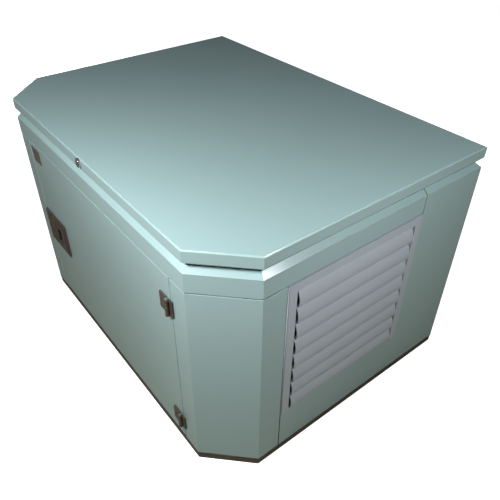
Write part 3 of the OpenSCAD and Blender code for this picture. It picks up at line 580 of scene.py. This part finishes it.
def make_lock_face():
    """Bezel, plug and key slot of the lid lock, over a black disc that paints the shade round the plug and
    in the key slot.
    """
    low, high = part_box("lid_lock")
    centre = Vector(((low.x + high.x) / 2, low.y, high.z - (high.x - low.x) / 2))
    matrix = frame_to(centre, (0, -1, 0))
    bm = bmesh.new()
    lathe(bm, [(9.2 * MM, -0.4 * MM), (12.9 * MM, -0.4 * MM), (13 * MM, 0.3 * MM), (12.2 * MM, 1.1 * MM),
               (10.4 * MM, 1.3 * MM), (9.3 * MM, 0.6 * MM), (9.2 * MM, -0.4 * MM)], matrix, 48)
    finish_piece("lid_lock_bezel", bm, "lid_lock", "chrome")
    # Black disc of painted shade: it stands for the dark recess round the plug and behind its key slot.
    bm = bmesh.new()
    lathe(bm, [(0, -0.3 * MM), (9 * MM, -0.3 * MM), (9 * MM, -0.1 * MM), (8 * MM, 0.05 * MM),
               (0, 0.05 * MM)], matrix, 48)
    finish_piece("lid_lock_recess_painted_shade", bm, "lid_lock", "black_plastic")
    bm = bmesh.new()
    for side in (-1, 1):
        half = [(side * 1.1 * MM, -6.4 * MM)]
        half += [(side * 6.6 * MM * math.sin(a), -6.6 * MM * math.cos(a))
                 for a in (math.radians(10 + 16 * k) for k in range(11))]
        half += [(side * 1.1 * MM, 6.4 * MM)]
        slab(bm, half if side > 0 else half[::-1], 0, 1.5 * MM, matrix)
    finish_piece("lid_lock_plug", bm, "lid_lock", "chrome", 0.3 * MM)


def make_rating_frame():
    """Raised border and corner rivets of the blank plate on the door."""
    low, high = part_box("rating_plate")
    centre = Vector(((low.x + high.x) / 2, low.y, (low.z + high.z) / 2))
    matrix = frame_to(centre, (0, -1, 0))
    width, height = high.x - low.x, high.z - low.z
    bm = bmesh.new()
    rings = []
    for trim, level in ((0.6, -0.2), (0.6, 0.5), (2.4, 0.5), (2.4, -0.2)):
        outline = rounded(width - 2 * trim * MM, height - 2 * trim * MM, 2 * MM)
        rings.append(ring(bm, [matrix @ Vector((x, y, level * MM)) for x, y in outline]))
    for first, second in zip(rings, rings[1:] + rings[:1]):
        bridge(bm, first, second)
    for sx in (-1, 1):
        for sy in (-1, 1):
            spot = matrix @ Vector((sx * (width / 2 - 5 * MM), sy * (height / 2 - 5 * MM), 0))
            lathe(bm, [(0, -0.2 * MM), (1.6 * MM, 0), (1.4 * MM, 0.5 * MM), (0.7 * MM, 0.85 * MM),
                       (0, 0.95 * MM)], frame_to(spot, (0, -1, 0)), 16)
    finish_piece("rating_plate_border", bm, "door", "plate_brown")


def foam_pad(name, body, x_span, y_span, matrix, thick, cell=32 * MM):
    """Foam pad with moulded pyramids on its face; local +Z points out of it."""
    columns = max(2, round((x_span[1] - x_span[0]) / cell))
    rows = max(2, round((y_span[1] - y_span[0]) / cell))
    dx, dy = (x_span[1] - x_span[0]) / columns, (y_span[1] - y_span[0]) / rows
    bm = bmesh.new()
    grid = [[bm.verts.new(matrix @ Vector((x_span[0] + i * dx, y_span[0] + j * dy, thick * 0.35)))
             for i in range(columns + 1)] for j in range(rows + 1)]
    for j in range(rows):
        for i in range(columns):
            tip = [bm.verts.new(matrix @ Vector((x_span[0] + (i + 0.5 + 0.16 * a) * dx,
                                                 y_span[0] + (j + 0.5 + 0.16 * b) * dy, thick)))
                   for a, b in ((-1, -1), (1, -1), (1, 1), (-1, 1))]
            foot = [grid[j][i], grid[j][i + 1], grid[j + 1][i + 1], grid[j + 1][i]]
            bridge(bm, foot, tip)
            bm.faces.new(tip)
    rim = grid[0] + [row[-1] for row in grid[1:]] + grid[-1][-2::-1] + [row[0] for row in grid[-2:0:-1]]
    back = []
    for vert in rim:
        local = matrix.inverted() @ vert.co
        back.append(bm.verts.new(matrix @ Vector((local.x, local.y, 0))))
    bridge(bm, rim, back)
    bm.faces.new(back)
    finish_piece(name, bm, body, "foam")


def make_pads():
    """Sound-absorbing pads inside the lid and the door."""
    sheet = 2.1 * MM         # panel sheet and its glue
    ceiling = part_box("lid_shell")[1].z - sheet
    down = Matrix.Translation((0, 0, ceiling)) @ Matrix.Rotation(math.pi, 4, "X")
    lid_thick = 14 * MM
    foam_pad("lid_foam", "lid", (-0.42, 0.42), (-0.36, 0.38), down, lid_thick)
    foam_pad("lid_foam_left", "lid", (-0.56, -0.43), (-0.38, 0.28), down, lid_thick)
    foam_pad("lid_foam_right", "lid", (0.43, 0.56), (-0.38, 0.28), down, lid_thick)
    low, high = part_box("door_panel")
    inwards = Matrix.Translation((0, low.y + sheet, 0)) @ Matrix.Rotation(-math.pi / 2, 4, "X")
    beside_latch, margin = -0.27, 10 * MM
    foam_pad("door_foam", "door", (beside_latch, high.x - 8 * MM),
             (-(high.z - margin), -(low.z + margin)), inwards, 9.5 * MM)


def make_control_face():
    """Display, keys and lamps on the control box, with no lettering."""
    low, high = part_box("control_box")
    box_z = high.z - 170 * MM      # underside of the housing, above its posts

    def at(x, z, out=0.0):
        """Place on the fascia: x and z from the box's lower left corner, out from its frame's face."""
        return Vector((low.x + x * MM, low.y - out * MM, box_z + z * MM))

    glass = Shader("display_glass", (0.012, 0.016, 0.014, 1.0), 0.08)
    glass.coat(1.0, 0.03)
    glass.tint(glass.spread(glass.noise(30), 0.4, 0.7, 0.0, 0.3), (0.02, 0.028, 0.024, 1.0))
    bm = bmesh.new()
    slab(bm, rounded(172 * MM, 47 * MM, 3 * MM), -1.5 * MM, 0.4 * MM,
         frame_to(at(190, 117.5, -1.5), (0, -1, 0)))
    finish_piece("display_glass", bm, "enclosure", "black_plastic", 0.5 * MM, glass.material)
    bm = bmesh.new()
    for k in range(5):
        spot = frame_to(at(122 + 34 * k, 75), (0, -1, 0))
        slab(bm, rounded(24 * MM, 15 * MM, 3 * MM), -0.5 * MM, 2.2 * MM, spot)
    finish_piece("display_keys", bm, "enclosure", "white_plastic", 0.9 * MM)
    for k, (name, colour) in enumerate((("green", srgb(60, 190, 90)), ("amber", srgb(240, 170, 40)),
                                        ("red", srgb(205, 40, 30)))):
        lens = Shader("lamp_lens_" + name, colour, 0.12)
        lens.coat(1.0, 0.05)
        lens.tint(lens.spread(lens.noise(400), 0.4, 0.7, 0.0, 0.25), shade_of(colour, 0.6))
        spot = frame_to(at(320, 130 - 28 * k) + Vector((0, 4 * MM, 0)), (0, -1, 0))
        bm = bmesh.new()
        lathe(bm, [(5.4 * MM, 0), (7.4 * MM, 0), (7.4 * MM, 1.6 * MM), (6.6 * MM, 2.3 * MM),
                   (5.4 * MM, 2.3 * MM), (5.4 * MM, 0)], spot)
        finish_piece("lamp_ring_" + name, bm, "enclosure", "chrome")
        bm = bmesh.new()
        lathe(bm, [(0, 0), (5.3 * MM, 0), (5.3 * MM, 2 * MM), (4.6 * MM, 3.8 * MM), (2.6 * MM, 5.1 * MM),
                   (0, 5.5 * MM)], spot)
        finish_piece("lamp_lens_" + name, bm, "enclosure", "red_plastic", 0.0, lens.material)


def make_battery_fittings():
    """Vent caps and terminal clamps of the battery."""
    low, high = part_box("battery")
    lid_top = high.z - 16 * MM
    bm = bmesh.new()
    for k in range(6):
        spot = frame_to((low.x + (26 + k * 31) * MM, low.y + 50 * MM, lid_top), (0, 0, 1))
        lathe(bm, [(0, -0.5 * MM), (11 * MM, -0.5 * MM), (11 * MM, 2.5 * MM), (10 * MM, 3.5 * MM),
                   (6 * MM, 3.5 * MM), (5.4 * MM, 2.4 * MM), (0, 2.4 * MM)], spot)
    finish_piece("battery_caps", bm, "enclosure", "red_plastic", 0.2 * MM)
    bm = bmesh.new()
    for x in (low.x + 30 * MM, high.x - 30 * MM):
        y = low.y + 130 * MM
        spot = frame_to((x, y, lid_top + 3 * MM), (0, 0, 1))
        lathe(bm, [(9.2 * MM, 0), (13.5 * MM, 0), (14 * MM, 1 * MM), (14 * MM, 9 * MM), (13 * MM, 10 * MM),
                   (9.2 * MM, 10 * MM), (9.2 * MM, 0)], spot)
        slab(bm, rounded(24 * MM, 13 * MM, 2 * MM), 1 * MM, 9 * MM,
             frame_to((x, y + 21 * MM, lid_top + 3 * MM), (0, 0, 1)))
        hex_screw(bm, (x + 12 * MM, y + 22 * MM, lid_top + 8 * MM), (1, 0, 0), 8 * MM)
    finish_piece("battery_clamps", bm, "enclosure", "zinc_steel", 0.5 * MM)


def make_engine_bolts():
    """Head-cover and end-bell screws, and the guard rings of the fan inlet."""
    bm = bmesh.new()
    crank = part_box("crankshaft")
    shaft_z = (crank[0].z + crank[1].z) / 2
    engine_x, stagger = -160 * MM, 14 * MM
    cover_top = 308 * MM           # rocker cover's face, from the shaft
    bell_circle = 108 * MM
    for side in (-1, 1):
        tilt = (Matrix.Translation((engine_x + side * stagger, 0, shaft_z))
                @ Matrix.Rotation(math.radians(-45 * side), 4, "X"))
        out = tilt.to_3x3() @ Vector((0, 0, 1))
        for x in (-36, 36):
            for y in (-36, 36):
                hex_screw(bm, tilt @ Vector((x * MM, y * MM, cover_top)), out, 10 * MM, 0.3 * x)
    bell_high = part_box("end_bell")[1]
    for k in range(8):
        angle = math.radians(22.5 + 45 * k)
        spot = (bell_high.x, bell_circle * math.cos(angle), shaft_z + bell_circle * math.sin(angle))
        hex_screw(bm, spot, (1, 0, 0), 10 * MM)
    finish_piece("engine_screws", bm, "enclosure", "zinc_steel", 0.2 * MM)
    bm = bmesh.new()
    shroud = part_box("fan_shroud")[0]
    for radius in (48, 59, 70, 81, 92):
        hoop = circle_points((shroud.x + 1.2 * MM, 0, shaft_z), (1, 0, 0), radius * MM, 56)
        tube(bm, hoop, 1.4 * MM, 8, True)
    finish_piece("fan_guard_rings", bm, "enclosure", "zinc_steel")


def make_rear_fittings():
    """Screws of the rear panel, the lid hinges and the exhaust outlet flange."""
    low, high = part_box("rear_panel")
    back = high.y
    spots = []
    for x in (low.x + 22 * MM, high.x - 22 * MM):
        spots += [(x, back, z * MM) for z in (60, 240, 430, 600)]
    spots += [(x, back, low.z + 16 * MM) for x in (-0.3, 0.0, 0.3)]
    screws("rear_panel_screws", spots, (0, 1, 0), 9 * MM, "enclosure")
    outlet_x, outlet_z, circle = 0.42, 0.2, 26 * MM
    outlet = [(outlet_x + circle * math.cos(a), back + 2.5 * MM, outlet_z + circle * math.sin(a))
              for a in (math.pi / 4 + math.pi / 2 * k for k in range(4))]
    screws("outlet_screws", outlet, (0, 1, 0), 6 * MM, "enclosure")
    leaf_back = back + 8 * MM
    axis_z = (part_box("top_band")[1].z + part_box("lid_shell")[0].z) / 2
    for name, body, rise in (("lid_hinge_screws", "lid", 24), ("wall_hinge_screws", "enclosure", -22)):
        places = [(x + dx, leaf_back - 0.3 * MM, axis_z + rise * MM) for x in (-0.42, 0.0, 0.42)
                  for dx in (-0.03, 0.0, 0.03)]
        bm = bmesh.new()
        for place in places:
            lathe(bm, [(0, -0.2 * MM), (4.2 * MM, -0.2 * MM), (4.2 * MM, 0.5 * MM), (3.4 * MM, 1.5 * MM),
                       (1.9 * MM, 2.0 * MM), (1.6 * MM, 1.1 * MM), (0, 1.0 * MM)],
                  frame_to(place, (0, 1, 0)), 24)
        finish_piece(name, bm, body, "zinc_steel")


def make_filter_clips():
    """Wire clips that hold the air filter's cover."""
    low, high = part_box("air_filter_box")
    bm = bmesh.new()
    for side in (-1, 1):
        y = high.y if side > 0 else low.y
        for x in (-0.22, -0.10):
            half = [(-14, -2, -52), (-14, 2.5, -50), (-14, 3.5, -30), (-10, 3.5, -14), (-6, 2.5, -6)]
            wire = half + [(0, 2.0, -3)] + [(-dx, dy, dz) for dx, dy, dz in half[::-1]]
            path = [(x + dx * MM, y + side * dy * MM, high.z + dz * MM) for dx, dy, dz in wire]
            tube(bm, path, 1.5 * MM, 10)
    finish_piece("filter_clips", bm, "enclosure", "zinc_steel")


def make_hose_clamps():
    """Worm-drive clamps at both ends of the gas hose."""
    bm = bmesh.new()
    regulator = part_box("gas_regulator")
    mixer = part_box("gas_mixer")
    hose_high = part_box("gas_hose")[1]
    radius = 11 * MM
    gas_x = -0.43
    for place, normal in (((gas_x, hose_high.y - radius, regulator[1].z + 14 * MM), (0, 0, 1)),
                          ((hose_high.x - 16 * MM, 0, mixer[1].z - 25 * MM), (1, 0, 0))):
        matrix = frame_to(place, normal)
        inner, outer = radius + 0.1 * MM, radius + 1.3 * MM
        lathe(bm, [(inner, -5 * MM), (outer, -5 * MM), (outer, 5 * MM), (inner, 5 * MM),
                   (inner, -5 * MM)], matrix, 40)
        slab(bm, rounded(9 * MM, 15 * MM, 1.5 * MM), 0, 7 * MM,
             matrix @ Matrix.Translation((outer - 0.5 * MM, 0, 0)) @ Matrix.Rotation(math.pi / 2, 4, "Y"))
    finish_piece("hose_clamps", bm, "enclosure", "zinc_steel", 0.3 * MM)


make_base_lip()
make_latch_slot_shade_and_grip()
make_shutter_gasket()
make_lock_face()
make_rating_frame()
make_pads()
make_control_face()
make_battery_fittings()
make_engine_bolts()
make_rear_fittings()
make_filter_clips()
make_hose_clamps()


# ---------------------------------------------------------------- stage, camera and lights
CAMERA_PLACE = Vector((1.2328, -0.8618, 1.4145))
CAMERA_AZIMUTH = 51.55
CAMERA_ELEVATION = 38.08
CAMERA_ROLL = 0.52
CAMERA_LENS = 39.13
FLOOR_HALF = 30.0
FLOOR_GLOW = 0.95
FLOOR_BOUNCE = (0.34, 0.31, 0.24, 1.0)
AMBIENT = 0.06
# name, kind, place, watts, size, aim, whether it lights matt surfaces as well as glossy ones
CENTRE = (0.2, -0.1, 0.5)
LIGHTS = (
    ("key", "POINT", (0.454, -1.061, 1.417), 57, 0.12, CENTRE, True),
    ("near_fill", "POINT", (1.27, -0.1, 1.06), 11.5, 0.12, CENTRE, True),
    ("side_box", "AREA", (1.63, 0.46, 1.62), 4.0, 0.16, (0.59, -0.3, 0.7), True),
    ("front_box", "AREA", (-0.61, -1.45, 1.3), 0.5, 0.15, (0.47, -0.43, 0.7), True),
    ("edge_light", "AREA", (-2.45, -0.72, 1.85), 2.2, 0.3, (-0.1, -0.4, 0.65), False),
    ("rear_fill", "AREA", (-0.6, 3.4, 0.35), 50, 0.7, (0, 0.4, 0.4), True),
    ("left_fill", "AREA", (-3.4, 0.2, 0.35), 45, 0.7, (-0.6, 0, 0.4), True),
)


def camera_ray(tree):
    """1 for what the camera sees directly and 0 for light that reaches the object."""
    return tree.nodes.new("ShaderNodeLightPath").outputs["Is Camera Ray"]


def floor_material():
    """Pale studio floor: near white, with a soft contact shadow, and a duller bounce on the object."""
    made = Shader("studio_floor", (0.9, 0.9, 0.9, 1.0), 0.9)
    made.tint(made.spread(made.noise(1.5, 3.0), 0.3, 0.7, 0.0, 0.3), (0.87, 0.87, 0.87, 1.0))
    made.bsdf.inputs["Emission Color"].default_value = (1.0, 1.0, 1.0, 1.0)
    made.bsdf.inputs["Emission Strength"].default_value = FLOOR_GLOW
    dull = made.node("ShaderNodeBsdfDiffuse")
    dull.inputs["Color"].default_value = FLOOR_BOUNCE
    mix = made.node("ShaderNodeMixShader")
    made.link(camera_ray(made.tree), mix.inputs["Fac"])
    made.link(dull.outputs["BSDF"], mix.inputs[1])
    made.link(made.bsdf.outputs["BSDF"], mix.inputs[2])
    made.link(mix.outputs["Shader"], made.tree.nodes["Material Output"].inputs["Surface"])
    return made.material


def make_stage():
    mesh = bpy.data.meshes.new("studio_floor")
    half = FLOOR_HALF
    corners = [(-half, -half, 0), (half, -half, 0), (half, half, 0), (-half, half, 0)]
    mesh.from_pydata(corners, [], [(0, 1, 2, 3)])
    mesh.materials.append(floor_material())
    floor = bpy.data.objects.new("studio_floor", mesh)
    floor.location.z = FLOOR_LEVEL - 0.5 * MM
    bpy.context.scene.collection.objects.link(floor)


def make_camera():
    data = bpy.data.cameras.new("camera")
    data.lens = CAMERA_LENS
    data.sensor_width = 36
    camera = bpy.data.objects.new("camera", data)
    bpy.context.scene.collection.objects.link(camera)
    turn, rise = math.radians(CAMERA_AZIMUTH), math.radians(CAMERA_ELEVATION)
    back = Vector((math.sin(turn) * math.cos(rise), -math.cos(turn) * math.cos(rise), math.sin(rise)))
    roll = Quaternion((0, 0, 1), math.radians(CAMERA_ROLL))
    camera.rotation_mode = "QUATERNION"
    camera.rotation_quaternion = (-back).to_track_quat("-Z", "Y") @ roll
    camera.location = CAMERA_PLACE
    bpy.context.scene.camera = camera


def add_light(name, kind, place, watts, size, aim, diffuse):
    data = bpy.data.lights.new(name, kind)
    if kind == "AREA":
        data.shape = "SQUARE"
        data.size = size
    else:
        data.shadow_soft_size = size
    data.energy = watts
    light = bpy.data.objects.new(name, data)
    light.location = place
    light.rotation_mode = "QUATERNION"
    light.rotation_quaternion = (Vector(aim) - Vector(place)).to_track_quat("-Z", "Y")
    light.visible_camera = False
    light.visible_diffuse = diffuse
    bpy.context.scene.collection.objects.link(light)


def make_lights():
    for light in LIGHTS:
        add_light(*light)
    world = bpy.data.worlds.new("studio")
    world.use_nodes = True
    tree = world.node_tree
    dim = tree.nodes["Background"]      # what lights the object, besides the lights
    dim.inputs["Color"].default_value = (0.97, 0.985, 1.0, 1.0)
    dim.inputs["Strength"].default_value = AMBIENT
    white = tree.nodes.new("ShaderNodeBackground")      # what the camera sees
    white.inputs["Color"].default_value = (1.0, 1.0, 1.0, 1.0)
    white.inputs["Strength"].default_value = 1.0
    mix = tree.nodes.new("ShaderNodeMixShader")
    tree.links.new(camera_ray(tree), mix.inputs["Fac"])
    tree.links.new(dim.outputs["Background"], mix.inputs[1])
    tree.links.new(white.outputs["Background"], mix.inputs[2])
    tree.links.new(mix.outputs["Shader"], tree.nodes["World Output"].inputs["Surface"])
    bpy.context.scene.world = world


make_stage()
make_camera()
make_lights()
bpy.context.scene.view_settings.view_transform = "Standard"
